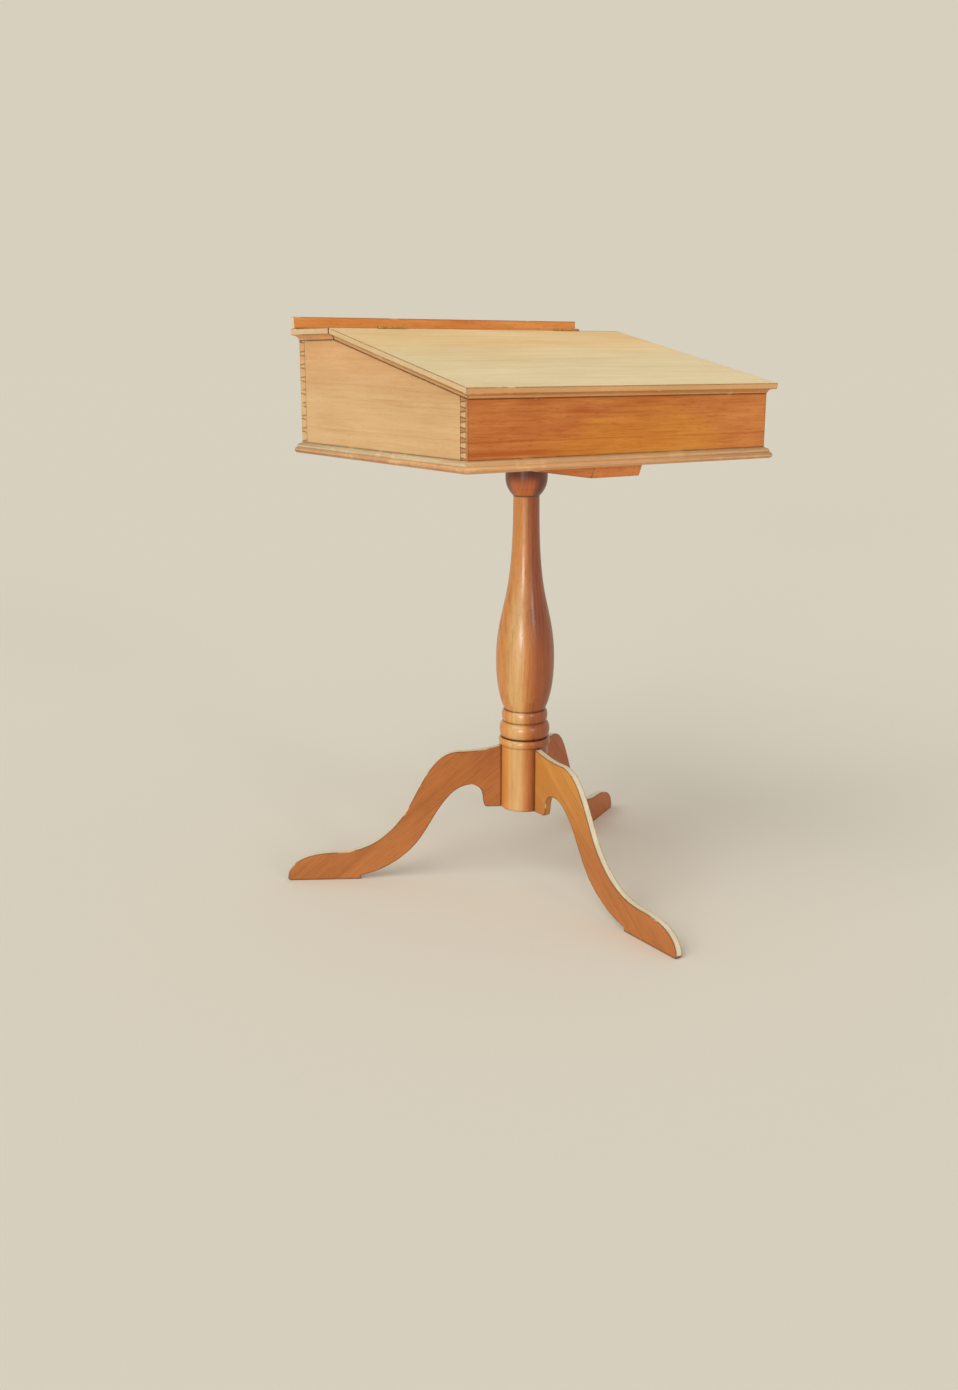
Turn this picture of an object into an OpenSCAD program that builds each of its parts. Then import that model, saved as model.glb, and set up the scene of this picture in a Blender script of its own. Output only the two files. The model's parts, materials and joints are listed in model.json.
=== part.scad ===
// Slant-lid school desk: a dovetailed box with a hinged sloping lid, on a turned pillar
// with three sawn cabriole legs. Millimetres, +Z up, the front of the desk towards -Y.
// The origin is on the floor, on the pillar's axis.

/* [Box] */
// Width of the box over its side boards
body_w = 480; // [420:10:560]
// Depth of the box over its front and back boards
body_d = 440; // [400:10:500]
// Height of the front board's outer face
front_h = 71; // [60:1:90]
// Height of the back board
rear_h = 141; // [125:1:170]
// Thickness of the front, back and side boards
board_t = 16; // [13:0.5:19]
// Thickness of the bottom board
bottom_t = 15; // [13:0.5:19]
// Height of the bottom board's underside above the floor
box_z = 628; // [580:4:690]

/* [Ledge, rail and lid] */
// Depth of the ledge's seat on the box, from the lid's joint to the back
ledge_d = 107; // [80:1:130]
// Thickness of the ledge
ledge_t = 16; // [13:0.5:19]
// Height of the gallery rail
rail_h = 16.5; // [13:0.5:24]
// Thickness of the gallery rail
rail_t = 8; // [6:0.5:12]
// How far the rail stands in from the ledge's ends and back
rail_inset = 1; // [0.5:0.5:4]
// Gap under the closed lid
lid_gap = 0.3; // [0.2:0.1:0.6]
// Gap between the lid's back edge and the ledge
joint_gap = 1; // [0.8:0.1:1.6]

/* [Edge mouldings] */
// How far the moulded edges stand out past the box
edge_out = 8.5; // [6.5:0.5:11]
// Square step over the cove of the ledge and the lid
cove_step = 0.6; // [0.3:0.1:1.2]
// How far the cove's foot stands out past the box
cove_foot = 0.4; // [0.2:0.1:1]
// Height of the half-round nose round the bottom board
nose_h = 8.5; // [6:0.5:10]
// Radius of the quarter round over the nose
ovolo_r = 4.5; // [2:0.25:5]
// How far the quarter round's top stands out past the box
ovolo_foot = 1; // [0.5:0.25:1.5]
// Square step over the quarter round
ovolo_step = 1; // [0.5:0.25:1.5]

/* [Dovetails] */
// Tails at each front corner
front_tails = 6; // [3:1:7]
// Tails at each back corner
rear_tails = 8; // [5:1:10]
// Wood left in front of the lapped front tails
lap_t = 4; // [2.5:0.5:6]
// Width of a pin between two tail ends
pin_w = 3.5; // [2.5:0.25:4.5]
// How much a tail widens on each side towards its end
tail_flare = 1.7; // [1:0.1:2]

/* [Cleat] */
// Width of the cleat under the box
cleat_w = 78; // [66:2:110]
// Length of the cleat, front to back
cleat_l = 410; // [300:10:430]
// Thickness of the cleat
cleat_t = 16; // [13:0.5:22]
// How far each end is bevelled under
cleat_bevel = 7; // [3:0.5:12]

/* [Pillar] */
// Height of the pillar's underside above the floor
pillar_z = 111; // [90:1:125]
// Radius of the plain foot that takes the legs
foot_r = 34.5; // [30:0.5:36]
// Height of the plain foot
foot_h = 96.5; // [85:0.5:110]
// Radius of the fillet ring over the foot
fillet_r = 38; // [37:0.1:42]
// Height of the fillet ring
fillet_h = 11.5; // [8:0.5:16]
// Radius of the large ring
ring_r = 37; // [35:0.1:41]
// Height of the large ring
ring_h = 24.5; // [16:0.5:28]
// Radius of the small ring
bead_r = 33.6; // [32.5:0.1:38]
// Height of the small ring
bead_h = 17.5; // [13:0.5:24]
// Radius of the grooves between the rings
groove_r = 30.5; // [28:0.1:32]
// Greatest radius of the bulb
bulb_r = 42.5; // [38:0.5:50]
// Height of the bulb's fullest point above the rings
bulb_up = 74; // [60:1:100]
// Radius of the neck
neck_r = 18.7; // [17:0.1:24]
// Radius of the cup under the cleat
cup_r = 30; // [26:0.5:33]
// Height of the cup's curve
cup_h = 26; // [18:1:34]
// Height of the plain rim over the cup
rim_h = 14; // [6:1:20]
// Radius of the round tenon in the cleat
tenon_r = 14; // [11:0.5:16]
// Depth of the wedge's slot in the tenon
kerf_d = 13; // [8:0.5:13]
// Thickness of the wedge at its broad end
wedge_t = 2.4; // [1.8:0.1:3.2]

/* [Legs] */
// Distance from the pillar's axis to the toes
leg_reach = 354; // [320:2:400]
// Thickness of the legs
leg_t = 10; // [9:0.5:16]
// Length of the flat sole
sole_l = 103; // [70:1:125]
// Height of the heel notch
heel_h = 6; // [3:0.5:9]
// Height of the foot pad
pad_h = 42.5; // [34:0.5:50]
// Height of the knee over the floor
knee_z = 197; // [190:1:201]
// Distance from the axis to the knee
knee_reach = 95; // [85:1:105]
// Height of the arch under the knee
arch_z = 146; // [140:1:152]
// Width of the bracket beside the pillar, at its foot
bracket_w = 22; // [17:1:28]
// Depth of a leg's dovetailed tongue in the pillar
tongue_d = 9; // [6:0.5:11]
// Thickness of the tongue at the pillar's face
tongue_neck = 5; // [4:0.25:6.5]
// Thickness of the tongue at its inner end
tongue_end = 8; // [7:0.25:9.5]
// Height left between the tongue's top and the foot's top
tongue_stop = 6; // [3:0.5:12]
// Gap between the leg's shoulder and the fillet ring
shoulder_gap = 0.3; // [0.2:0.1:1]

/* [Hinges] */
// Length of each hinge
hinge_len = 45; // [35:1:60]
// Distance from the middle of the desk to each hinge's middle
hinge_x = 150; // [110:5:170]
// Height of the hinges' axis above the ledge's top
hinge_rise = 0.3; // [0:0.1:0.5]
// Radius of the knuckles
knuckle_r = 2.6; // [2.2:0.1:3.2]
// Radius of the hinge pin
hinge_pin_r = 1.2; // [0.9:0.1:1.4]
// Running clearance round the pin
pin_gap = 0.06; // [0.03:0.01:0.1]
// Height of the leaves under the axis
leaf_h = 13; // [10.5:0.5:14]
// Thickness of the leaves
leaf_t = 1.4; // [1:0.1:1.8]
// Length of the leaf screws
leaf_screw_l = 13; // [9:0.5:16]

/* [Fasteners] */
// Radius of the nails' shanks
nail_r = 1.3; // [1:0.1:1.6]
// Length of the nails through the bottom and the ledge
nail_l = 38; // [32:1:45]
// How far the brads reach up into the gallery rail
brad_grip = 11; // [8:0.5:12]
// Length of the screws through the cleat
cleat_screw_l = 27; // [22:0.5:28]
// Radius of the cleat screws' shanks
cleat_screw_r = 2; // [1.6:0.1:2.4]
// Clearance round tongues, tenon, wedge and fasteners
fit_gap = 0.1; // [0.05:0.05:0.2]

/* [Hidden] */

$fn = 64;
small_fn = 24;
curve_n = 12;
over = 1;

leg_front_angle = 270;
leg_left_angle = 150;
leg_right_angle = 30;

half_w = body_w / 2;
half_d = body_d / 2;
floor_z = box_z + bottom_t;
front_top_z = floor_z + front_h;
ledge_z = floor_z + rear_h;
top_z = ledge_z + ledge_t;
joint_y = half_d - ledge_d;
lid_run = body_d - ledge_d;
slope = atan((rear_h - front_h) / lid_run);
lid_t = ledge_t * cos(slope) - lid_gap;
cove_r = edge_out - cove_step - cove_foot;
hinge_y = joint_y - joint_gap / 2;
hinge_z = top_z + hinge_rise;
knuckle_count = 5;
knuckle_gap = 0.3;
pin_end = 0.5;
leaf_drop = hinge_rise + 0.5;

rail_y = half_d + edge_out - rail_inset - rail_t;
brad_y = rail_y + rail_t / 2;
brad_z = ledge_z + cove_r;
brad_l = top_z - brad_z + brad_grip;

pillar_top = box_z - cleat_t;
foot_top = pillar_z + foot_h;
fillet_top = foot_top + fillet_h;
ring_top = fillet_top + ring_h;
bead_top = ring_top + bead_h;
bulb_z = bead_top + bulb_up;
neck_top = pillar_top - rim_h - cup_h;
foot_chamfer = 1;
fillet_bulge = 2.8;
wedge_short = 1;
toe_round = 5;

nail_head_r = 3;
nail_head_t = 1.2;
brad_head_r = 2.2;
leaf_screw_r = 1.2;
leaf_head_r = 2.4;
cleat_head_r = 4;
screw_slot_w = 0.8;
screw_slot_d = 0.9;

pine = "burlywood";
front_wood = "peru";
leg_wood = "chocolate";
brass = "gold";
iron = "dimgray";

// Points on a cubic curve from a to d, drawn towards b and c
function curve(a, b, c, d, n) = [for (i = [0:n - 1]) let (t = i / n, s = 1 - t)
    s * s * s * a + 3 * s * s * t * b + 3 * s * t * t * c + t * t * t * d];

// Points on a curve that leaves p at one heading and arrives at q at another;
// the two pulls say how long it keeps each heading, as shares of the distance
function sweep(p, leave, q, arrive, pulls, n = curve_n) =
    let (reach = norm(q - p))
    curve(p, p + pulls[0] * reach * [cos(leave), sin(leave)],
        q - pulls[1] * reach * [cos(arrive), sin(arrive)], q, n);

// Points on a turned ring between two heights, swelling from r_in to r_out
function ring(z0, z1, r_in, r_out, n = curve_n) = [for (i = [0:n]) let (a = 180 * i / n)
    [r_in + (r_out - r_in) * sin(a), (z0 + z1) / 2 - (z1 - z0) / 2 * cos(a)]];

// Height above the floor board at which the lid's seat lies
function seat_h(y) = front_h + (y + half_d) * tan(slope);

module along_x(length) {
    translate([-length / 2, 0, 0])
        rotate([90, 0, 90])
            linear_extrude(length) children();
}

module along_y(length) {
    translate([0, length / 2, 0])
        rotate([90, 0, 0])
            linear_extrude(length) children();
}

// Nail or brad with its head at z = 0, driven up along +Z
module nail(length, head_r, grow = 0) {
    cylinder(h = length + grow, r = nail_r + grow, $fn = small_fn);
    translate([0, 0, -grow])
        cylinder(h = nail_head_t + 2 * grow, r = head_r + grow, $fn = small_fn);
}

// Countersunk wood screw with its head at z = 0, driven up along +Z
module screw(length, shank_r, head_r) {
    difference() {
        screw_hole(length, shank_r, head_r, 0);
        translate([-head_r - over, -screw_slot_w / 2, -over])
            cube([2 * (head_r + over), screw_slot_w, screw_slot_d + over]);
    }
}

// Space that such a screw takes up
module screw_hole(length, shank_r, head_r, grow = fit_gap) {
    cylinder(h = length + grow, r = shank_r + grow, $fn = small_fn);
    translate([0, 0, -grow])
        cylinder(h = head_r - shank_r + 2 * grow, r1 = head_r + 2 * grow, r2 = shank_r + grow,
            $fn = small_fn);
}

// Turned pillar
function pillar_outline() =
    let (
        bulb = [bulb_r, bulb_z],
        taper = [(bulb_r + neck_r) / 2, bulb_z + 0.36 * (neck_top - bulb_z)],
        neck = [neck_r, neck_top],
        cup = [cup_r, pillar_top - rim_h])
    concat(
        [[0, pillar_z], [foot_r - foot_chamfer, pillar_z], [foot_r, pillar_z + foot_chamfer],
            [foot_r, foot_top]],
        ring(foot_top, fillet_top, fillet_r - fillet_bulge, fillet_r),
        ring(fillet_top, ring_top, groove_r, ring_r),
        ring(ring_top, bead_top, groove_r, bead_r),
        sweep([groove_r - 1, bead_top], 62, bulb, 90, [0.23, 0.42]),
        sweep(bulb, 90, taper, 103, [0.37, 0.38]),
        sweep(taper, 103, neck, 90, [0.24, 0.49]),
        sweep(neck, 41, cup, 90, [0.16, 0.5]),
        [cup, [cup_r, pillar_top], [tenon_r, pillar_top], [tenon_r, box_z], [0, box_z]]);

module pillar() color(leg_wood) difference() {
    rotate_extrude() polygon(pillar_outline());
    for (angle = [leg_front_angle, leg_left_angle, leg_right_angle])
        rotate([0, 0, angle])
            tongue(fit_gap);
    wedge_shape(fit_gap);
}

// Dovetailed tongue of a leg, and with grow the slot for it
module tongue(grow = 0) {
    translate([0, 0, pillar_z - (grow > 0 ? over : 0)])
        linear_extrude(foot_h - tongue_stop + (grow > 0 ? over + grow : 0))
            polygon([
                [foot_r - tongue_d - grow, -tongue_end / 2 - grow],
                [foot_r + over, -tongue_neck / 2 - grow],
                [foot_r + over, tongue_neck / 2 + grow],
                [foot_r - tongue_d - grow, tongue_end / 2 + grow]]);
}

// Wedge across the tenon, broad at the top
module wedge_shape(grow = 0) {
    along_x(2 * (tenon_r + (grow > 0 ? over : -wedge_short)))
        polygon([
            [-wedge_t / 4 - grow, box_z - kerf_d - grow],
            [wedge_t / 4 + grow, box_z - kerf_d - grow],
            [wedge_t / 2 + grow, box_z + (grow > 0 ? over : 0)],
            [-wedge_t / 2 - grow, box_z + (grow > 0 ? over : 0)]]);
}

module pillar_wedge() color(pine) wedge_shape();

// Side view of a leg: distance from the axis and height
function leg_outline() =
    let (
        heel_x = leg_reach - toe_round - sole_l,
        shoulder = [foot_r - 2, foot_top - shoulder_gap],
        knee = [knee_reach, knee_z],
        shin = knee + [55, -43],
        ankle = [heel_x - 35, pad_h + 23.5],
        instep = [heel_x + 40, pad_h],
        toe = [leg_reach, toe_round],
        heel = [heel_x, heel_h],
        calf = [knee_reach + 73, heel_h + 42],
        arch = [knee_reach + 14, arch_z - 14],
        bracket = [foot_r + bracket_w, pillar_z],
        lobe = [bracket[0] + 5.5, arch_z - 17])
    concat(
        sweep(shoulder, -20, knee, 1, [0.29, 0.35]),
        sweep(knee, 1, shin, -60, [0.37, 0.4]),
        sweep(shin, -60, ankle, -38, [0.34, 0.4]),
        sweep(ankle, -38, instep, -1, [0.42, 0.32]),
        sweep(instep, -1, toe, -86, [0.54, 0.29]),
        sweep(toe, -90, [leg_reach - toe_round, 0], 180, [0.4, 0.4], 4),
        [[leg_reach - toe_round, 0], [heel_x, 0]],
        sweep(heel, 171, calf, 134, [0.34, 0.32]),
        sweep(calf, 134, arch, 135, [0.33, 0.35]),
        sweep(arch, 135, lobe, 264, [0.5, 0.5]),
        sweep(lobe, 264, bracket, 194, [0.48, 0.22], 5),
        [bracket, [foot_r - 2, pillar_z]]);

module leg(angle) color(leg_wood) rotate([0, 0, angle]) {
    difference() {
        along_y(leg_t) polygon(leg_outline());
        translate([0, 0, pillar_z - over])
            cylinder(h = foot_h + 2 * over, r = foot_r + fit_gap);
    }
    tongue();
}

module leg_front() leg(leg_front_angle);
module leg_left() leg(leg_left_angle);
module leg_right() leg(leg_right_angle);

// Cleat that joins the pillar to the box
module cleat() color(leg_wood) difference() {
    along_x(cleat_w)
        polygon([
            [-cleat_l / 2 + cleat_bevel, pillar_top],
            [cleat_l / 2 - cleat_bevel, pillar_top],
            [cleat_l / 2, box_z],
            [-cleat_l / 2, box_z]]);
    translate([0, 0, pillar_top - over])
        cylinder(h = cleat_t + 2 * over, r = tenon_r + fit_gap);
    place_cleat_screws() screw_hole(cleat_screw_l, cleat_screw_r, cleat_head_r);
}

module place_cleat_screws() {
    for (x = [-1, 1], y = [-0.42, -0.22, 0.22, 0.42])
        translate([x * cleat_w / 4, y * cleat_l, pillar_top])
            children();
}

module cleat_screws() color(iron)
    place_cleat_screws() screw(cleat_screw_l, cleat_screw_r, cleat_head_r);

// Section of the bottom board, moulded at both ends of its span
module bottom_section(half) {
    nose_r = nose_h / 2;
    ovolo_z = bottom_t - ovolo_step - ovolo_r;
    translate([-half - edge_out + nose_r, 0]) square([2 * (half + edge_out - nose_r), nose_h]);
    translate([-half - ovolo_foot, 0]) square([2 * (half + ovolo_foot), bottom_t]);
    translate([-half - ovolo_foot - ovolo_r, nose_h - over])
        square([2 * (half + ovolo_foot + ovolo_r), ovolo_z - nose_h + over]);
    for (side = [-1, 1]) {
        translate([side * (half + edge_out - nose_r), nose_r]) circle(nose_r);
        translate([side * (half + ovolo_foot), ovolo_z]) circle(ovolo_r);
    }
}

module bottom_board() color(pine) difference() {
    translate([0, 0, box_z]) intersection() {
        along_x(body_w + 4 * edge_out) bottom_section(half_d);
        along_y(body_d + 4 * edge_out) bottom_section(half_w);
    }
    place_bottom_nails() nail(nail_l, nail_head_r, fit_gap);
    place_cleat_screws() screw_hole(cleat_screw_l, cleat_screw_r, cleat_head_r);
}

module place_bottom_nails() {
    for (side = [-1, 1]) {
        for (y = [-0.36, -0.12, 0.12, 0.36])
            translate([side * (half_w - board_t / 2), y * body_d, box_z]) children();
        for (x = [-0.36, -0.12, 0.12, 0.36])
            translate([x * body_w, side * (half_d - board_t / 2), box_z]) children();
    }
}

module bottom_nails() color(iron) place_bottom_nails() nail(nail_l, nail_head_r);

// Row of tails from x = 0 outward, spread over the height
module tail_row(count, height, length) {
    pitch = height / count;
    end_half = (pitch - pin_w) / 2;
    root_half = end_half - tail_flare;
    for (i = [0:count - 1])
        translate([0, (i + 0.5) * pitch])
            polygon([[-over, -root_half], [0, -root_half], [length, -end_half],
                [length, end_half], [0, root_half], [-over, root_half]]);
}

// Tails of a side board, front and back, in its side view
module side_tails() {
    translate([-half_d + board_t, 0]) mirror([1, 0])
        tail_row(front_tails, front_h, board_t - lap_t);
    translate([half_d - board_t, 0])
        tail_row(rear_tails, rear_h, board_t);
}

// Tails of both sides, to be cut out of the front and back boards
module both_side_tails() {
    for (side = [-1, 1])
        translate([side * (half_w - board_t / 2), 0, floor_z])
            along_x(board_t) side_tails();
}

module side_board(side) color(pine) difference() {
    translate([side * (half_w - board_t / 2), 0, floor_z])
        along_x(board_t) {
            polygon([
                [-half_d + board_t, 0],
                [half_d - board_t, 0],
                [half_d - board_t, rear_h],
                [joint_y, rear_h],
                [-half_d + board_t, seat_h(-half_d + board_t)]]);
            side_tails();
        }
    place_bottom_nails() nail(nail_l, nail_head_r, fit_gap);
    place_ledge_nails() nail(nail_l, nail_head_r, fit_gap);
}

module left_side() side_board(-1);
module right_side() side_board(1);

module front_board() color(front_wood) difference() {
    translate([0, 0, floor_z]) along_x(body_w)
        polygon([
            [-half_d, 0],
            [-half_d + board_t, 0],
            [-half_d + board_t, seat_h(-half_d + board_t)],
            [-half_d, front_h]]);
    both_side_tails();
    place_bottom_nails() nail(nail_l, nail_head_r, fit_gap);
}

module back_board() color(pine) difference() {
    translate([-half_w, half_d - board_t, floor_z]) cube([body_w, board_t, rear_h]);
    both_side_tails();
    place_bottom_nails() nail(nail_l, nail_head_r, fit_gap);
    place_ledge_nails() nail(nail_l, nail_head_r, fit_gap);
}

// Cove cut along an edge that runs along X and faces -Y at y = 0, with its foot at z = 0
module cove_cut(length) {
    along_x(length) {
        translate([-edge_out + cove_step, 0]) circle(cove_r);
        translate([-edge_out - over, -over]) square([cove_step + over, cove_r + over]);
    }
}

module ledge() color(pine) difference() {
    translate([-half_w - edge_out, joint_y, ledge_z])
        cube([body_w + 2 * edge_out, ledge_d + edge_out, ledge_t]);
    for (side = [-1, 1])
        translate([side * half_w, 0, ledge_z]) rotate([0, 0, side * 90])
            cove_cut(2 * body_d);
    translate([0, half_d, ledge_z]) rotate([0, 0, 180]) cove_cut(2 * body_w);
    hinge_recess(1);
    place_ledge_nails() nail(nail_l, nail_head_r, fit_gap);
    place_gallery_brads() {
        nail(brad_l, brad_head_r, fit_gap);
        translate([0, 0, -cove_r - over])
            cylinder(h = cove_r + over, r = brad_head_r + fit_gap, $fn = small_fn);
    }
    place_leaf_screws(1) screw_hole(leaf_screw_l, leaf_screw_r, leaf_head_r);
}

module place_ledge_nails() {
    for (side = [-1, 1], y = [0.25, 0.7])
        translate([side * (half_w - board_t / 2), joint_y + y * ledge_d, top_z])
            mirror([0, 0, 1]) children();
    for (x = [-0.24, 0, 0.24])
        translate([x * body_w, half_d - board_t / 2, top_z]) mirror([0, 0, 1]) children();
}

module ledge_nails() color(iron) place_ledge_nails() nail(nail_l, nail_head_r);

// Rail along the ledge's back edge
module gallery_rail() color(front_wood) difference() {
    translate([-half_w - edge_out + rail_inset, rail_y, top_z])
        cube([body_w + 2 * (edge_out - rail_inset), rail_t, rail_h]);
    place_gallery_brads() nail(brad_l, brad_head_r, fit_gap);
}

// The brads are punched up into the rail through the cove under the ledge's back edge
module place_gallery_brads() {
    for (x = [-0.44, -0.22, 0, 0.22, 0.44])
        translate([x * body_w, brad_y, brad_z]) children();
}

module gallery_brads() color(iron) place_gallery_brads() nail(brad_l, brad_head_r);

// Sloping lid
module lid() color(pine) difference() {
    translate([0, -half_d, front_top_z]) rotate([slope, 0, 0]) translate([0, 0, lid_gap])
        difference() {
            translate([-half_w - edge_out, -edge_out, 0])
                cube([body_w + 2 * edge_out, lid_run / cos(slope) + 2 * edge_out, lid_t]);
            cove_cut(2 * body_w);
            for (side = [-1, 1])
                translate([side * half_w, 0, 0]) rotate([0, 0, side * 90])
                    cove_cut(3 * body_d);
        }
    translate([-body_w, joint_y - joint_gap, floor_z]) cube([2 * body_w, body_d, 2 * rear_h]);
    hinge_recess(-1);
    place_leaf_screws(-1) screw_hole(leaf_screw_l, leaf_screw_r, leaf_head_r);
}

// Recesses for both hinges: side 1 is the ledge, side -1 the lid
module hinge_recess(side) {
    for (x = [-hinge_x, hinge_x])
        translate([x, hinge_y, hinge_z]) {
            along_x(hinge_len + 4 * pin_end) circle(knuckle_r + 2 * knuckle_gap);
            translate([-hinge_len / 2 - fit_gap, side > 0 ? 0 : -joint_gap / 2 - leaf_t - fit_gap,
                -leaf_h - fit_gap])
                cube([hinge_len + 2 * fit_gap, joint_gap / 2 + leaf_t + fit_gap, leaf_h + over]);
        }
}

// Knuckles of one leaf: the ledge's leaf has the even ones, the lid's the odd ones
module knuckles(first, radius, gap) {
    pitch = hinge_len / knuckle_count;
    for (i = [first:2:knuckle_count - 1])
        translate([-hinge_len / 2 + (i + 0.5) * pitch, 0, 0])
            along_x(pitch - gap) circle(radius, $fn = 32);
}

module hinge_leaf(x, side) color(brass) difference() {
    translate([x, hinge_y, hinge_z]) difference() {
        union() {
            knuckles(side > 0 ? 0 : 1, knuckle_r, knuckle_gap);
            translate([-hinge_len / 2, side > 0 ? joint_gap / 2 : -joint_gap / 2 - leaf_t, -leaf_h])
                cube([hinge_len, leaf_t, leaf_h - leaf_drop]);
        }
        knuckles(side > 0 ? 1 : 0, knuckle_r + knuckle_gap, -knuckle_gap);
        along_x(hinge_len + 2 * over) circle(hinge_pin_r + pin_gap, $fn = 32);
    }
    place_leaf_screws(side) screw_hole(leaf_screw_l, leaf_screw_r, leaf_head_r, 0.05);
}

module ledge_leaf_left() hinge_leaf(-hinge_x, 1);
module ledge_leaf_right() hinge_leaf(hinge_x, 1);
module lid_leaf_left() hinge_leaf(-hinge_x, -1);
module lid_leaf_right() hinge_leaf(hinge_x, -1);

module hinge_pin(x) color(brass)
    translate([x, hinge_y, hinge_z]) along_x(hinge_len + 2 * pin_end) circle(hinge_pin_r, $fn = 32);

module hinge_pin_left() hinge_pin(-hinge_x);
module hinge_pin_right() hinge_pin(hinge_x);

module place_leaf_screws(side) {
    for (x = [-hinge_x, hinge_x], u = [-0.33, 0, 0.33])
        translate([x + u * hinge_len, hinge_y + side * joint_gap / 2, hinge_z - 0.6 * leaf_h])
            rotate([-side * 90, 0, 0]) children();
}

module ledge_leaf_screws() color(brass)
    place_leaf_screws(1) screw(leaf_screw_l, leaf_screw_r, leaf_head_r);
module lid_leaf_screws() color(brass)
    place_leaf_screws(-1) screw(leaf_screw_l, leaf_screw_r, leaf_head_r);

pillar();
pillar_wedge();
leg_front();
leg_left();
leg_right();
cleat();
cleat_screws();
bottom_board();
bottom_nails();
front_board();
back_board();
left_side();
right_side();
ledge();
ledge_nails();
gallery_rail();
gallery_brads();
lid();
ledge_leaf_left();
ledge_leaf_right();
lid_leaf_left();
lid_leaf_right();
hinge_pin_left();
hinge_pin_right();
ledge_leaf_screws();
lid_leaf_screws();
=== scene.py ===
import json
import math

import bmesh
import bpy
from mathutils import Matrix, Vector

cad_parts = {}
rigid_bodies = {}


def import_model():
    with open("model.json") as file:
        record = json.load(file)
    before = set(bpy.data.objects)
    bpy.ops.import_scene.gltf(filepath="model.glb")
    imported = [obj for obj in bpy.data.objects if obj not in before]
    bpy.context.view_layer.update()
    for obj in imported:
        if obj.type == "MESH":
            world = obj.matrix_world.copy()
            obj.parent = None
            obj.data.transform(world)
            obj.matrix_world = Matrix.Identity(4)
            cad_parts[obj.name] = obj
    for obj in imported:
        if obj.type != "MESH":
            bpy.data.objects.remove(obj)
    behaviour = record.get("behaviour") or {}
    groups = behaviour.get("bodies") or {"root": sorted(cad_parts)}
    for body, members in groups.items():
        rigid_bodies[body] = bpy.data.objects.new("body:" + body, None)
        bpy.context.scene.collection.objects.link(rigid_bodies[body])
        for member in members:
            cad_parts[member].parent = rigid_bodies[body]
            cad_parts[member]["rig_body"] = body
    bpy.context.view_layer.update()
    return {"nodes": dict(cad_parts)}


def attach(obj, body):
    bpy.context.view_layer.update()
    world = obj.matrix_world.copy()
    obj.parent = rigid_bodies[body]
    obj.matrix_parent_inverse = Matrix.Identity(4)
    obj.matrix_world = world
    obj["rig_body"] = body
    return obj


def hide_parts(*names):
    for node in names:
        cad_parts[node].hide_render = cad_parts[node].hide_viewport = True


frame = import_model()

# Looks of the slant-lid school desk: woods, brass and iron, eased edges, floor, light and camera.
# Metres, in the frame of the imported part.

nodes = frame["nodes"]

# The camera that fits the drawing: place, direction in radians, focal length on a picture 1390 high
CAMERA_PLACE = (-1.1027, -1.5606, 0.7622)
CAMERA_YAW = 0.580
CAMERA_PITCH = -0.247
FOCAL_PIXELS = 1342.0
PICTURE_HEIGHT = 1390.0
SENSOR_HEIGHT = 36.0
VIEW_END = 200.0

# Light: strength of the sky, and each sun's strength, its width in degrees and where it comes from
SKY = 0.54
SUNS = {
    "key_sun": {"energy": 1.25, "angle": 52, "source": (-0.66, -0.20, 0.72)},
    "side_sun": {"energy": 1.10, "angle": 14, "source": (-0.80, -0.60, 0.06)},
    "fill_sun": {"energy": 0.35, "angle": 12, "source": (0.04, -0.96, 0.27)},
}
WHITE = (1.0, 1.0, 1.0, 1.0)
FLOOR_REACH = 60.0

# Directions that the grain follows
ACROSS_DESK = (1, 0, 0)
FRONT_TO_BACK = (0, 1, 0)
UPRIGHT = (0, 0, 1)
LEG_ANGLES = {"leg_front": 270, "leg_left": 150, "leg_right": 30}
LEG_GRAIN_SLOPE = math.radians(40)

# Heights at which a wood changes its tone, and how soft that change is
KNEE_HEIGHTS = (0.06, 0.19)
# Top of the pillar's painted highlight band
HIGHLIGHT_BAND_TOP = 0.45
NECK_TOP = 0.572
# Where the cup's painted patch of light ends and its painted shade under the box begins
CUP_MIDDLE = 0.596
NOSE_TOP = 0.6365
GOLD_HEIGHTS = (0.648, 0.705)
SIDE_WARMTH = 0.745
LEDGE_STEP = 0.7915
BROAD_BLUR = 0.05
CUP_BLUR = 0.008
CUT_BLUR = 0.0006

# The lid: its slope, the step over its cove as a distance along its normal, and places front to back
LID_SLOPE = math.radians(11.87)
LID_STEP = 0.7518
LID_STEP_BLUR = 0.0004
LID_WARMTH = (-0.19, 0.07)
LID_JOINT = 0.1125

# Sides of the turned pillar with a tone of their own: a browner heart side, which is partly painted shade
# on the side turned from the light, a paler side that is a painted highlight, and a paler side of the cup
# that is a painted patch of light
HEART_AND_SHADE_SIDE = (0.84, -0.54, 0.0)
HIGHLIGHT_SIDE = (-0.82, -0.57, 0.0)
CUP_LIT_SIDE = (-0.72, -0.69, 0.0)

# The golden patch of the front board: its middle and how far it reaches to each side
GOLD_MIDDLE = 0.02
GOLD_REACH = 0.21

# Dark lines: the roots of the dovetails, then how far from its middle each line is full and ends. The line
# in the crease under the pillar's cup is painted shade.
GAUGE_LINE = 0.204
GAUGE_LINE_WIDTH = (0.0004, 0.0009)
LID_JOINT_WIDTH = (0.0014, 0.0024)
NECK_CREASE_SHADE_WIDTH = (0.0005, 0.0016)
LINE_STRENGTH = 0.9

# Height of the normal of a level face: where it starts to count as level, and where it is
LEVEL = (0.93, 0.97)

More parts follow.
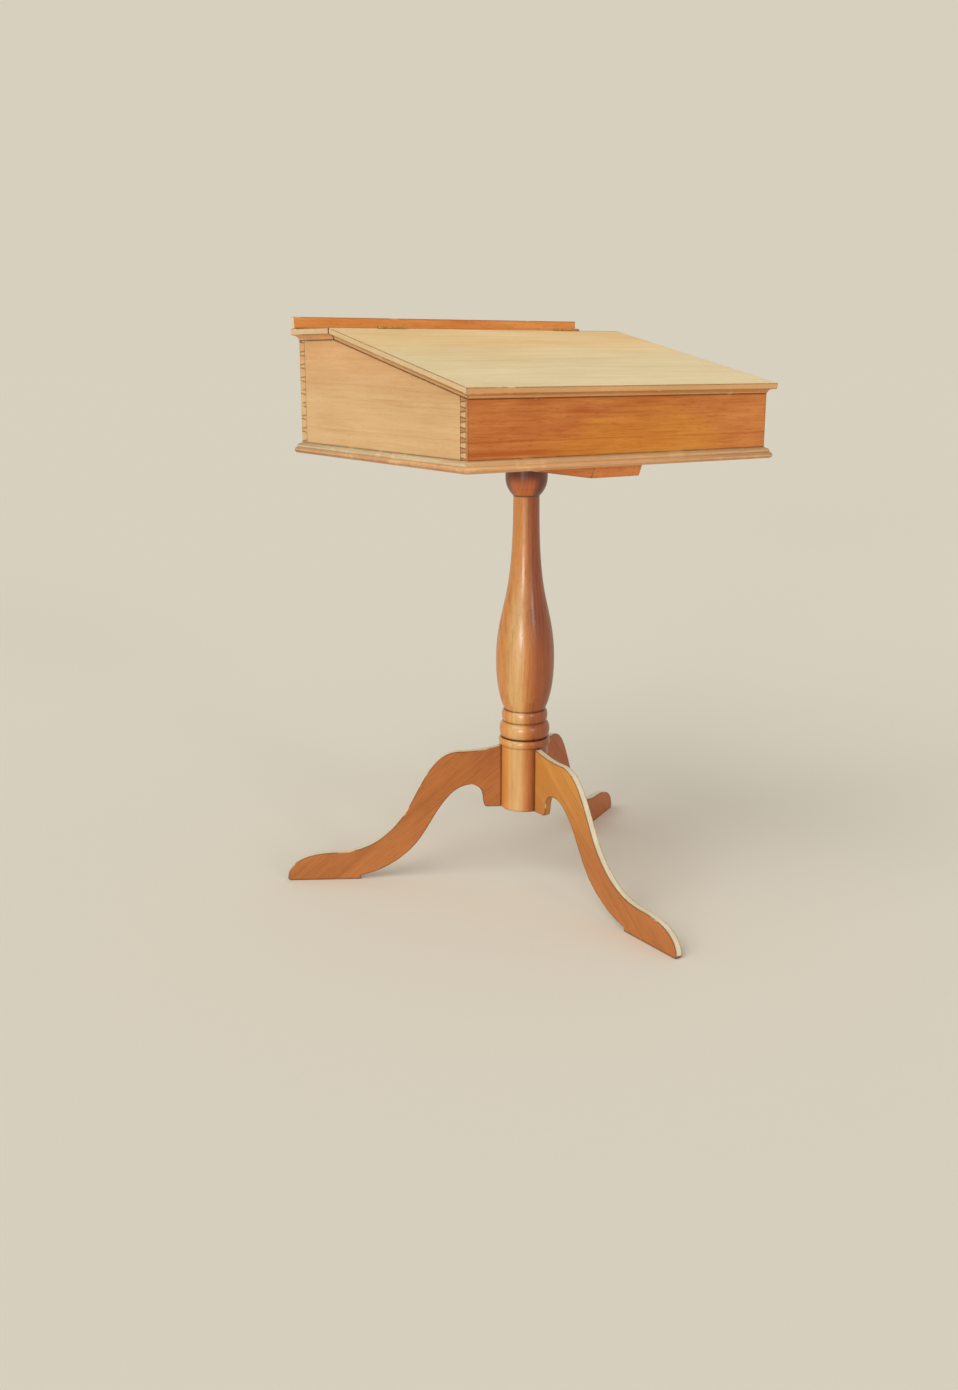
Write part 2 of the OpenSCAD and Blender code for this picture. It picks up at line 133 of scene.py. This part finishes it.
# Patterns in wood and metal, as cycles in a metre: along the grain, then across it
DRIFT = (3, 14, 14)
PLAIN_PATCHES = (6, 40, 40)
FIBRES = (12, 520, 520)
PORES = (70, 1100, 1100)
VEINS = (1.6, 210, 210)
CLOUDS = (6, 16, 16)
RUBBED_PATCHES = (34, 34, 34)
METAL_PATCHES = (130, 130, 130)
SCRATCHES = (900, 900, 900)

# Growth of the wood: how far the grain bends across itself, how little the rings change along it, where
# late wood starts and is full in a year, and its usual share
GRAIN_BEND = (0.016, 0.012)
TRUNK_TAPER = 0.02
LATE_WOOD = (0.3, 0.9)
LATE_SHARE = 0.2

# Weight of each pattern in the tone of a wood, and how much the tone changes its gloss
FIBRE_WEIGHT = 1.1
STROKE_WEIGHT = 1.3
LINE_WEIGHT = 0.5
CLOUD_WEIGHT = 1.4
GLOSS_CHANGE = 0.14
COAT_ROUGHNESS = 0.2

# Depth of the bumps
WOOD_RELIEF = 0.0001
METAL_RELIEF = 0.00003

# Wear and painted shade: how far they reach from an arris and out of a corner, and the samples that find
# them
EDGE_WIDTH = 0.0021
EDGE_SAMPLES = 4
CORNER_REACH = 0.005
CORNER_SAMPLES = 6

# How far the arrises of each kind of piece are eased, and the shortest edge that is eased
BOARD_EASE = 0.00035
PILLAR_EASE = 0.0004
MOULDING_EASE = 0.0005
RAIL_EASE = 0.0006
LEG_EASE = 0.0008
SHORTEST_LEG_EDGE = 0.0005
SHORTEST_EDGE = 0.002
SHORTEST_MOULDED_EDGE = 0.08

# What counts as one point, as one flat face, as a sharp arris and as a smooth bend in a solid's mesh
WELD_DISTANCE = 2e-6
FLAT_ANGLE = math.radians(0.4)
ARRIS_ANGLE = math.radians(32)
SMOOTH_ANGLE = math.radians(50)


def srgb(red, green, blue):
    """Linear colour with full alpha of a display colour given in 0 to 255."""
    def linear(value):
        share = value / 255
        return share / 12.92 if share <= 0.04045 else ((share + 0.055) / 1.055) ** 2.4
    return (linear(red), linear(green), linear(blue), 1.0)


BACKDROP = srgb(215, 208, 191)
RUBBED_WOOD = srgb(236, 206, 158)
# The woods' dark colours serve as dirt on arrises and in joints, and as painted shade in corners and
# creases.
WOOD_DIRT_AND_SHADE = srgb(86, 52, 28)
LEG_DIRT_AND_SHADE = srgb(58, 36, 22)
METAL_DIRT = srgb(70, 48, 28)
RUST = srgb(112, 62, 34)

# Foot and knee of each leg, as deep and pale display colours; the right leg's deeper, redder tones are
# partly painted shade of the rear leg
LEG_TONES = {
    "leg_front": (((150, 84, 34), (196, 124, 64)), ((176, 108, 38), (218, 154, 76))),
    "leg_left": (((148, 84, 34), (190, 118, 60)), ((144, 78, 28), (188, 114, 52))),
    "leg_right": (((152, 74, 26), (196, 112, 54)), ((146, 68, 24), (190, 104, 50))),
}


class Graph:
    """The nodes of a material or of the world, with short calls for the kinds that are used here."""

    def __init__(self, owner):
        owner.use_nodes = True
        self.tree = owner.node_tree
        self.tree.nodes.clear()

    def node(self, kind, inputs=(), **settings):
        made = self.tree.nodes.new(kind)
        for key, value in settings.items():
            setattr(made, key, value)
        for key, value in dict(inputs).items():
            self.plug(value, made.inputs[key])
        return made

    def plug(self, value, socket):
        if isinstance(value, bpy.types.NodeSocket):
            self.tree.links.new(value, socket)
        else:
            socket.default_value = value

    def math(self, operation, first, second=0.0, clamp=False):
        made = self.node("ShaderNodeMath", {0: first, 1: second}, operation=operation, use_clamp=clamp)
        return made.outputs[0]

    def vector(self, operation, first, second=(0.0, 0.0, 0.0)):
        made = self.node("ShaderNodeVectorMath", {0: first, 1: second}, operation=operation)
        return made.outputs["Value" if operation in ("LENGTH", "DOT_PRODUCT") else "Vector"]

    def part(self, vector, axis):
        return self.node("ShaderNodeSeparateXYZ", {0: vector}).outputs[axis]

    def away(self, value, middle):
        """How far a value is from the middle, to either side."""
        return self.math("ABSOLUTE", self.math("SUBTRACT", value, middle))

    def rise(self, value, low, high, bottom=0.0, top=1.0):
        """bottom where value is under low, top where it is over high, with a soft step between."""
        inputs = {"Value": value, "From Min": low, "From Max": high, "To Min": bottom, "To Max": top}
        return self.node("ShaderNodeMapRange", inputs, interpolation_type="SMOOTHSTEP").outputs[0]

    def noise(self, where, stretch, detail=3.0, rough=0.5):
        """Noise with stretch cycles in a metre along each axis."""
        scaled = self.vector("MULTIPLY", where, stretch)
        inputs = {"Vector": scaled, "Scale": 1.0, "Detail": detail, "Roughness": rough}
        return self.node("ShaderNodeTexNoise", inputs).outputs["Fac"]

    def swing(self, value, amount):
        """Value that runs from 0 to 1, turned to run from minus to plus half the amount."""
        return self.math("MULTIPLY", self.math("SUBTRACT", value, 0.5), amount)

    def mix(self, factor, first, second):
        inputs = {"Factor": factor, "A": first, "B": second}
        return self.node("ShaderNodeMix", inputs, data_type="RGBA").outputs["Result"]

    def ramp(self, value, *stops):
        made = self.node("ShaderNodeValToRGB", {"Fac": value})
        for point, (place, colour) in zip(made.color_ramp.elements, stops):
            point.position = place
            point.color = colour
        return made.outputs["Color"]

    def surface(self, colour, roughness, height, relief, rounded, finish):
        """The shader, with the height as bumps of that relief on the rounded normal."""
        inputs = {"Height": height, "Distance": relief, "Strength": 1.0, "Normal": rounded}
        bump = self.node("ShaderNodeBump", inputs).outputs[0]
        inputs = {"Base Color": colour, "Roughness": roughness, "Normal": bump, **finish}
        body = self.node("ShaderNodeBsdfPrincipled", inputs).outputs[0]
        self.node("ShaderNodeOutputMaterial", {"Surface": body})


def turned_to_grain(along, across):
    """Rotation that lays the grain's direction on X and across on Y."""
    first = Vector(along).normalized()
    third = first.cross(Vector(across)).normalized()
    second = third.cross(first)
    return Matrix((first, second, third)).to_euler("XYZ")


def edges_and_corners(graph):
    """The softened normal, how worn the edges are, and how open the surface lies."""
    bevel = graph.node("ShaderNodeBevel", {"Radius": EDGE_WIDTH}, samples=EDGE_SAMPLES).outputs[0]
    normal = graph.node("ShaderNodeNewGeometry").outputs["Normal"]
    turn = graph.math("SUBTRACT", 1.0, graph.vector("DOT_PRODUCT", bevel, normal))
    reach = {"Distance": CORNER_REACH}
    openness = graph.node("ShaderNodeAmbientOcclusion", reach, samples=CORNER_SAMPLES).outputs["AO"]
    worn = graph.math("MULTIPLY", graph.rise(turn, 0.002, 0.03), graph.rise(openness, 0.55, 0.9))
    return bevel, worn, openness


def year_rings(graph, bent, turned, pith, ring):
    """Late wood of each year's ring round the pith, with plain patches in it."""
    from_pith = graph.vector("SUBTRACT", bent, (0, pith[0], pith[1]))
    from_pith = graph.vector("MULTIPLY", from_pith, (TRUNK_TAPER, 1, 1))
    year = graph.math("FRACT", graph.math("DIVIDE", graph.vector("LENGTH", from_pith), ring))
    start, full = LATE_WOOD
    late = graph.math("MULTIPLY", graph.rise(year, start, full), graph.rise(year, full, 1.0, 1.0, 0.0))
    return graph.math("MULTIPLY", late, graph.rise(graph.noise(turned, PLAIN_PATCHES, 2.0), 0.35, 0.65))


def wood_figure(graph, turned, pith, ring, rings, streaks, brush, wash):
    """Tone of the wood, from 0 deep to 1 pale, with its fibres and the height of its surface.

    ring is the width of a year's growth. rings, streaks and wash say how strongly the rings, the fibres
    with the brushed stain, and the broad clouds show. brush is the stain's cycles in a metre, along the
    grain and across it.
    """
    drift = graph.math("SUBTRACT", graph.noise(turned, DRIFT, 2.0), 0.5)
    shift = {axis: graph.math("MULTIPLY", drift, amount) for axis, amount in zip("YZ", GRAIN_BEND)}
    bent = graph.vector("ADD", turned, graph.node("ShaderNodeCombineXYZ", shift).outputs[0])
    late = year_rings(graph, bent, turned, pith, ring)

    fibre = graph.noise(turned, FIBRES, 4.0, 0.7)
    pore = graph.rise(graph.noise(turned, PORES, 1.0), 0.6, 0.72)
    stroke = graph.noise(bent, (brush[0], brush[1], brush[1]), 4.0, 0.6)
    vein = graph.rise(graph.noise(bent, VEINS, 2.0), 0.58, 0.76)
    cloud = graph.noise(turned, CLOUDS)
    lines = graph.math("ADD", vein, pore)

    early = graph.math("SUBTRACT", LATE_SHARE, late)
    tone = graph.math("ADD", 0.5, graph.math("MULTIPLY", early, rings))
    tone = graph.math("ADD", tone, graph.swing(fibre, FIBRE_WEIGHT * streaks))
    tone = graph.math("ADD", tone, graph.swing(stroke, STROKE_WEIGHT * streaks))
    tone = graph.math("SUBTRACT", tone, graph.math("MULTIPLY", lines, LINE_WEIGHT * streaks))
    tone = graph.math("ADD", tone, graph.swing(cloud, CLOUD_WEIGHT * wash), clamp=True)
    height = graph.math("SUBTRACT", graph.math("ADD", fibre, late), pore)
    return tone, fibre, height


def wood(name, zones, along, across, pith=(0.02, 0.07), ring=0.005, rings=0.10, streaks=0.5, brush=(7, 85),
         wash=0.5, dirt_and_shade=WOOD_DIRT_AND_SHADE, roughness=0.46, coat=0.05, shine=0.3, wear=0.75, seam=None):
    """Wood cut from a solid trunk, stained in zones, with worn edges and painted shade in its corners.

    zones come from zone(), and each one covers those before it. wear is how strongly the arrises are worn,
    and seam is the mask of a dark line: dirt in the lid's joint, painted shade in the crease of the
    pillar.
    The dark colour stands for dirt on arrises and seams, and for painted shade in corners and creases. A
    mask is called with the graph, place and facing.
    """
    material = bpy.data.materials.new(name)
    graph = Graph(material)
    coordinates = graph.node("ShaderNodeTexCoord").outputs
    place = coordinates["Object"]
    facing = coordinates["Normal"]
    grain = {"Vector": place, "Rotation": turned_to_grain(along, across)}
    turned = graph.node("ShaderNodeMapping", grain).outputs[0]
    tone, fibre, height = wood_figure(graph, turned, pith, ring, rings, streaks, brush, wash)

    colour = None
    for mask, deep, pale in zones:
        shade = graph.ramp(tone, (0.1, deep), (0.9, pale))
        colour = shade if mask is None else graph.mix(mask(graph, place, facing), colour, shade)

    rounded, worn, openness = edges_and_corners(graph)
    rubbed = graph.rise(graph.noise(place, RUBBED_PATCHES), 0.56, 0.68)
    edge_colour = graph.mix(rubbed, dirt_and_shade, RUBBED_WOOD)
    colour = graph.mix(graph.math("MULTIPLY", worn, wear), colour, edge_colour)
    # Painted shade: the dark colour darkens corners, creases and faces under overhangs, where the surface
    # lies less open.
    colour = graph.mix(graph.rise(openness, 0.3, 0.92, 0.85, 0.0), colour, dirt_and_shade)
    if seam is not None:
        colour = graph.mix(seam(graph, place, facing), colour, dirt_and_shade)

    gloss = graph.math("MULTIPLY", graph.math("SUBTRACT", fibre, tone), GLOSS_CHANGE)
    gloss = graph.math("ADD", roughness, gloss)
    finish = {"Coat Weight": coat, "Coat Roughness": COAT_ROUGHNESS, "Specular IOR Level": shine}
    graph.surface(colour, gloss, height, WOOD_RELIEF, rounded, finish)
    return material


def metal(name, bright, dull, roughness, rust=0.0):
    """Old metal: bright where it is rubbed, dull in its hollows, with fine scratches and some rust."""
    material = bpy.data.materials.new(name)
    graph = Graph(material)
    place = graph.node("ShaderNodeTexCoord").outputs["Object"]
    rounded, worn, openness = edges_and_corners(graph)
    patches = graph.noise(place, METAL_PATCHES, 4.0, 0.6)
    scratches = graph.noise(place, SCRATCHES, 2.0, 0.7)
    age = graph.rise(graph.math("SUBTRACT", patches, graph.math("MULTIPLY", worn, 0.5)), 0.3, 0.6)
    colour = graph.mix(age, bright, dull)
    colour = graph.mix(graph.rise(openness, 0.1, 0.6, 0.5, 0.0), colour, METAL_DIRT)
    if rust:
        colour = graph.mix(graph.rise(patches, 0.5, 0.7, 0.0, rust), colour, RUST)
    gloss = graph.math("ADD", roughness, graph.math("MULTIPLY", age, 0.18))
    gloss = graph.math("ADD", gloss, graph.swing(scratches, 0.2))
    graph.surface(colour, gloss, scratches, METAL_RELIEF, rounded, {"Metallic": 1.0})
    return material


def zone(deep, pale, mask=None):
    """Where a wood has a tone of its own, and its deep and pale display colours there."""
    return mask, srgb(*deep), srgb(*pale)


def facing_up(graph, place, facing):
    return graph.rise(graph.part(facing, "Z"), *LEVEL)


def facing_down(graph, place, facing):
    return graph.rise(graph.part(facing, "Z"), -LEVEL[1], -LEVEL[0], 1.0, 0.0)


def facing_sideways(graph, place, facing):
    """The left and right sides of a moulding, apart from its front and back."""
    across = graph.math("ABSOLUTE", graph.part(facing, "X"))
    lengthways = graph.math("ABSOLUTE", graph.part(facing, "Y"))
    return graph.rise(graph.math("SUBTRACT", across, lengthways), -0.05, 0.05)


def above(height, blur=CUT_BLUR):
    def mask(graph, place, facing):
        return graph.rise(graph.part(place, "Z"), height - blur, height + blur)
    return mask


def below(height, blur):
    def mask(graph, place, facing):
        return graph.rise(graph.part(place, "Z"), height - blur, height + blur, 1.0, 0.0)
    return mask


def both(first, second):
    def mask(graph, place, facing):
        return graph.math("MULTIPLY", first(graph, place, facing), second(graph, place, facing))
    return mask


def line_at(axis, middle, width):
    """Mask of a thin line across one axis, of one of the widths above."""
    def mask(graph, place, facing):
        return graph.rise(graph.away(graph.part(place, axis), middle), *width, LINE_STRENGTH, 0.0)
    return mask


def towards(side, start, full, drift=0.25):
    """Mask of one side of the pillar; start and full are cosines of the angle away from that side."""
    def mask(graph, place, facing):
        outward = graph.vector("NORMALIZE", graph.vector("MULTIPLY", place, (1, 1, 0)))
        turn = graph.math("ADD", graph.vector("DOT_PRODUCT", outward, side),
                          graph.swing(graph.noise(place, (45, 45, 9)), drift))
        return graph.rise(turn, start, full)
    return mask


def gauge_lines(graph, place, facing):
    """The lines scribed across the sides at the roots of the dovetails."""
    away = graph.away(graph.math("ABSOLUTE", graph.part(place, "Y")), GAUGE_LINE)
    return graph.rise(away, *GAUGE_LINE_WIDTH, LINE_STRENGTH, 0.0)


def golden_patch(graph, place, facing):
    """The lower middle of the front board, where the stain is yellower."""
    low = graph.rise(graph.part(place, "Z"), *GOLD_HEIGHTS, 0.45, 0.0)
    away = graph.away(graph.part(place, "X"), GOLD_MIDDLE)
    middle = graph.rise(away, 0.03, GOLD_REACH, 0.35, 0.0)
    drift = graph.swing(graph.noise(place, (9, 30, 34)), 1.1)
    patch = graph.rise(graph.math("ADD", drift, graph.math("ADD", low, middle)), 0.2, 0.75)
    return graph.math("MULTIPLY", patch, graph.rise(away, 0.10, GOLD_REACH, 1.0, 0.0))


def over_lid_cove(graph, place, facing):
    """The square edge of the lid, over its cove."""
    height = graph.vector("DOT_PRODUCT", place, (0.0, -math.sin(LID_SLOPE), math.cos(LID_SLOPE)))
    return graph.rise(height, LID_STEP - LID_STEP_BLUR, LID_STEP + LID_STEP_BLUR)


def warm_back(graph, place, facing):
    """Broad warmer clouds over the upper half of the lid."""
    drift = graph.swing(graph.noise(place, (5, 9, 9), 2.0), 0.9)
    upper = graph.rise(graph.part(place, "Y"), *LID_WARMTH)
    return graph.rise(graph.math("ADD", drift, upper), 0.2, 1.0)


# Dirt in the joint between ledge and lid, where it crosses their moulded ends
lid_joint = both(line_at("Y", LID_JOINT, LID_JOINT_WIDTH), facing_sideways)


def leg_wood(node, foot, knee):
    """Wood of one leg: other tones at foot and knee, edges painted pale as lit where they face up or
    outward, the grain down its length.
    """
    angle = math.radians(LEG_ANGLES[node])
    along = (math.cos(angle) * math.cos(LEG_GRAIN_SLOPE), math.sin(angle) * math.cos(LEG_GRAIN_SLOPE),
             -math.sin(LEG_GRAIN_SLOPE))
    across = (-math.sin(angle), math.cos(angle), 0)

    def at_knee(graph, place, facing):
        return graph.rise(graph.part(place, "Z"), *KNEE_HEIGHTS)

    def lit_edge(graph, place, facing):
        """The edges that look up or outward, not the leg's broad sides: painted light, pale as the light
        falls on them.
        """
        broad = graph.math("ABSOLUTE", graph.vector("DOT_PRODUCT", facing, across))
        return graph.math("MULTIPLY", graph.rise(broad, 0.35, 0.6, 1.0, 0.0),
                          graph.rise(graph.part(facing, "Z"), -0.15, 0.1))

    zones = [zone(*foot), zone(*knee, at_knee), zone((204, 186, 148), (232, 220, 190), lit_edge)]
    return wood("wood_" + node, zones, along, across, pith=(0.05, 0.12), ring=0.007, rings=0.05,
                wash=0.6, dirt_and_shade=LEG_DIRT_AND_SHADE, wear=0.95)


def eased(node, width, shortest=SHORTEST_EDGE):
    """The node's own solid with its sharp arrises eased, shown in the node's place."""
    shape = bmesh.new()
    shape.from_mesh(nodes[node].data)
    bmesh.ops.remove_doubles(shape, verts=shape.verts, dist=WELD_DISTANCE)
    bmesh.ops.dissolve_limit(shape, angle_limit=FLAT_ANGLE, verts=shape.verts, edges=shape.edges)
    arrises = [edge for edge in shape.edges if len(edge.link_faces) == 2 and edge.calc_length() > shortest
               and edge.calc_face_angle_signed() > ARRIS_ANGLE]
    bmesh.ops.bevel(shape, geom=arrises, offset=width, segments=2, profile=0.5, affect="EDGES",
                    clamp_overlap=False)
    mesh = bpy.data.meshes.new(node + "_eased")
    shape.to_mesh(mesh)
    shape.free()
    mesh.shade_smooth()
    mesh.set_sharp_from_angle(angle=SMOOTH_ANGLE)
    piece = bpy.data.objects.new(node + "_eased", mesh)
    bpy.context.scene.collection.objects.link(piece)
    weights = piece.modifiers.new("broad faces stay flat", "WEIGHTED_NORMAL")
    weights.keep_sharp = True
    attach(piece, nodes[node]["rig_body"])
    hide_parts(node)
    return piece


def give(material, *pieces):
    for piece in pieces:
        if not piece.material_slots:
            piece.data.materials.append(material)
        for slot in piece.material_slots:
            slot.material = material


def dress_case():
    # Partly painted light: the front board's deeper orange against the paler tan sides is its stain and
    # also the shade on the front of a box lit from the left. The paler sideways faces of the front board,
    # base and rail are painted light, after the lit left end.
    front = wood("wood_front", [zone((176, 88, 28), (212, 136, 66)),
                                zone((187, 106, 24), (217, 144, 54), golden_patch),
                                zone((178, 116, 62), (210, 150, 92), facing_sideways)],
                 ACROSS_DESK, FRONT_TO_BACK, pith=(0.05, 0.03), rings=0.06, streaks=0.8, brush=(15, 120),
                 wash=0.6)
    side = wood("wood_side", [zone((196, 150, 96), (222, 184, 132)),
                              zone((196, 140, 84), (222, 172, 118), above(SIDE_WARMTH, BROAD_BLUR)),
                              zone((112, 74, 40), (146, 100, 58), gauge_lines)],
                FRONT_TO_BACK, ACROSS_DESK, pith=(0.09, 0.02), ring=0.008)
    back = wood("wood_back", [zone((198, 148, 90), (230, 190, 134))], ACROSS_DESK, FRONT_TO_BACK,
                pith=(0.07, 0.05), ring=0.007, rings=0.16)
    give(front, eased("front_board", BOARD_EASE))
    give(side, eased("left_side", BOARD_EASE), eased("right_side", BOARD_EASE))
    give(back, eased("back_board", BOARD_EASE))

    over_nose = above(NOSE_TOP)
    base = wood("wood_base", [zone((200, 140, 88), (230, 178, 124)),
                              zone((194, 144, 94), (222, 180, 128), over_nose),
                              zone((196, 170, 126), (222, 202, 160), both(over_nose, facing_sideways))],
                ACROSS_DESK, FRONT_TO_BACK, wear=0.35)
    give(base, eased("bottom_board", MOULDING_EASE))

    ledge = wood("wood_ledge", [zone((208, 144, 90), (236, 180, 122)),
                                zone((198, 160, 112), (226, 194, 148), above(LEDGE_STEP))],
                 ACROSS_DESK, FRONT_TO_BACK, roughness=0.58, coat=0.0, seam=lid_joint)
    give(ledge, eased("ledge", MOULDING_EASE, SHORTEST_MOULDED_EDGE))
    rail = wood("wood_rail", [zone((196, 112, 44), (230, 156, 80)),
                              zone((204, 180, 132), (230, 212, 168), facing_sideways)],
                ACROSS_DESK, FRONT_TO_BACK, streaks=0.6)
    give(rail, eased("gallery_rail", RAIL_EASE))


def dress_lid():
    # Painted light: one wood, with its top and its left and right ends given paler tones, as lit from
    # above and the left. The warmer clouds on the top are its own tone variation; the underside and the
    # edge over the cove are its own tones.
    lid = wood("wood_lid", [zone((208, 138, 76), (238, 178, 112)),
                            zone((206, 150, 94), (234, 184, 126), facing_sideways),
                            zone((198, 144, 90), (228, 176, 118), over_lid_cove),
                            zone((200, 164, 116), (226, 194, 146), both(over_lid_cove, facing_sideways)),
                            zone((212, 186, 134), (238, 219, 174), facing_up),
                            zone((214, 175, 111), (241, 209, 155), both(facing_up, warm_back)),
                            zone((200, 156, 102), (228, 190, 138), facing_down)],
               ACROSS_DESK, FRONT_TO_BACK, pith=(0.1, 0.62), ring=0.009, rings=0.07, streaks=0.45,
               wash=0.45, roughness=0.64, coat=0.0, seam=lid_joint)
    give(lid, eased("lid", MOULDING_EASE, SHORTEST_MOULDED_EDGE))


def dress_stand():
    # Painted highlight: a paler band down the lower bulb and the foot, on the side towards the light.
    painted_highlight_band = both(below(HIGHLIGHT_BAND_TOP, BROAD_BLUR), towards(HIGHLIGHT_SIDE, 0.89, 1.0, 0.06))
    # Partly painted shade: the browner heart side darkens the side of the pillar that is turned from the
    # light.
    heart_and_shade = towards(HEART_AND_SHADE_SIDE, -0.35, 0.45)
    # The cup is stained a deep red-brown, and that dark tone is partly painted shade under the box.
    cup = above(NECK_TOP)
    # Painted light: a paler patch on the lower cup, on the side towards the light; the upper cup stays
    # dark as painted shade.
    cup_lit_patch = both(both(cup, below(CUP_MIDDLE, CUP_BLUR)), towards(CUP_LIT_SIDE, 0.58, 0.95, 0.35))
    turned = wood("wood_pillar", [zone((180, 104, 34), (228, 158, 78)),
                                  zone((184, 134, 72), (228, 180, 118), painted_highlight_band),
                                  zone((116, 46, 6), (168, 86, 30), heart_and_shade),
                                  zone((74, 22, 2), (124, 50, 16), cup),
                                  zone((164, 78, 26), (214, 122, 58), cup_lit_patch)],
                  UPRIGHT, HEART_AND_SHADE_SIDE, pith=(0.09, 0.0), ring=0.006, rings=0.2, wash=0.7, roughness=0.38,
                  # The seam is painted shade: a dark line in the crease where the cup meets the neck.
                  coat=0.35, shine=0.5, seam=line_at("Z", NECK_TOP, NECK_CREASE_SHADE_WIDTH))
    give(turned, eased("pillar", PILLAR_EASE))
    for node, (foot, knee) in LEG_TONES.items():
        give(leg_wood(node, foot, knee), eased(node, LEG_EASE, SHORTEST_LEG_EDGE))
    cleat = wood("wood_cleat", [zone((196, 106, 46), (234, 152, 80))], FRONT_TO_BACK, ACROSS_DESK)
    give(cleat, eased("cleat", MOULDING_EASE))
    wedge = wood("wood_wedge", [zone((200, 150, 96), (236, 204, 154))], UPRIGHT, ACROSS_DESK)
    give(wedge, nodes["pillar_wedge"])


def dress_metal():
    brass = metal("brass", srgb(220, 164, 92), srgb(170, 112, 60), 0.42)
    iron = metal("iron", srgb(120, 116, 110), srgb(58, 52, 48), 0.5, rust=0.6)
    give(brass, *(nodes[name] for name in nodes if "leaf" in name or "hinge_pin" in name))
    give(iron, *(nodes[name] for name in ("cleat_screws", "bottom_nails", "ledge_nails", "gallery_brads")))


def lit_share(sun):
    """Share of full light that a sun gives to a level surface."""
    return sun["energy"] / math.pi * Vector(sun["source"]).normalized().z


def add_floor():
    """Pale floor that ends in a background of the colour that the lit floor has."""
    light = SKY + sum(lit_share(sun) for sun in SUNS.values())
    colour = tuple(channel / light for channel in BACKDROP[:3]) + (1.0,)
    material = bpy.data.materials.new("pale_floor")
    graph = Graph(material)
    matte = graph.node("ShaderNodeBsdfDiffuse", {"Color": colour})
    graph.node("ShaderNodeOutputMaterial", {"Surface": matte.outputs[0]})
    corners = [(x * FLOOR_REACH, y * FLOOR_REACH, 0) for x, y in ((-1, -1), (1, -1), (1, 1), (-1, 1))]
    mesh = bpy.data.meshes.new("floor")
    mesh.from_pydata(corners, [], [(0, 1, 2, 3)])
    floor = bpy.data.objects.new("floor", mesh)
    bpy.context.scene.collection.objects.link(floor)
    mesh.materials.append(material)


def add_sky():
    """White light on the object, and the backdrop where the camera or a reflection sees past the floor."""
    world = bpy.data.worlds.new("studio")
    graph = Graph(world)
    light = graph.node("ShaderNodeBackground", {"Color": WHITE, "Strength": SKY}).outputs[0]
    backdrop = graph.node("ShaderNodeBackground", {"Color": BACKDROP}).outputs[0]
    rays = graph.node("ShaderNodeLightPath").outputs
    seen = graph.math("MAXIMUM", rays["Is Camera Ray"], rays["Is Glossy Ray"])
    seen = graph.math("MAXIMUM", seen, rays["Is Transmission Ray"])
    shown = graph.node("ShaderNodeMixShader", {0: seen, 1: light, 2: backdrop}).outputs[0]
    graph.node("ShaderNodeOutputWorld", {"Surface": shown})
    bpy.context.scene.world = world


def add_sun(name, sun):
    lamp = bpy.data.lights.new(name, "SUN")
    lamp.energy = sun["energy"]
    lamp.angle = math.radians(sun["angle"])
    holder = bpy.data.objects.new(name, lamp)
    holder.rotation_euler = Vector(sun["source"]).to_track_quat("Z", "Y").to_euler()
    bpy.context.scene.collection.objects.link(holder)


def add_camera():
    lens = bpy.data.cameras.new("camera")
    lens.sensor_fit = "VERTICAL"
    lens.sensor_height = SENSOR_HEIGHT
    lens.lens = FOCAL_PIXELS / PICTURE_HEIGHT * SENSOR_HEIGHT
    lens.clip_end = VIEW_END
    camera = bpy.data.objects.new("camera", lens)
    camera.location = CAMERA_PLACE
    camera.rotation_euler = (math.pi / 2 + CAMERA_PITCH, 0.0, -CAMERA_YAW)
    bpy.context.scene.collection.objects.link(camera)
    bpy.context.scene.camera = camera


dress_case()
dress_lid()
dress_stand()
dress_metal()
add_floor()
add_sky()
for sun_name, sun_facts in SUNS.items():
    add_sun(sun_name, sun_facts)
add_camera()
bpy.context.scene.view_settings.view_transform = "Standard"
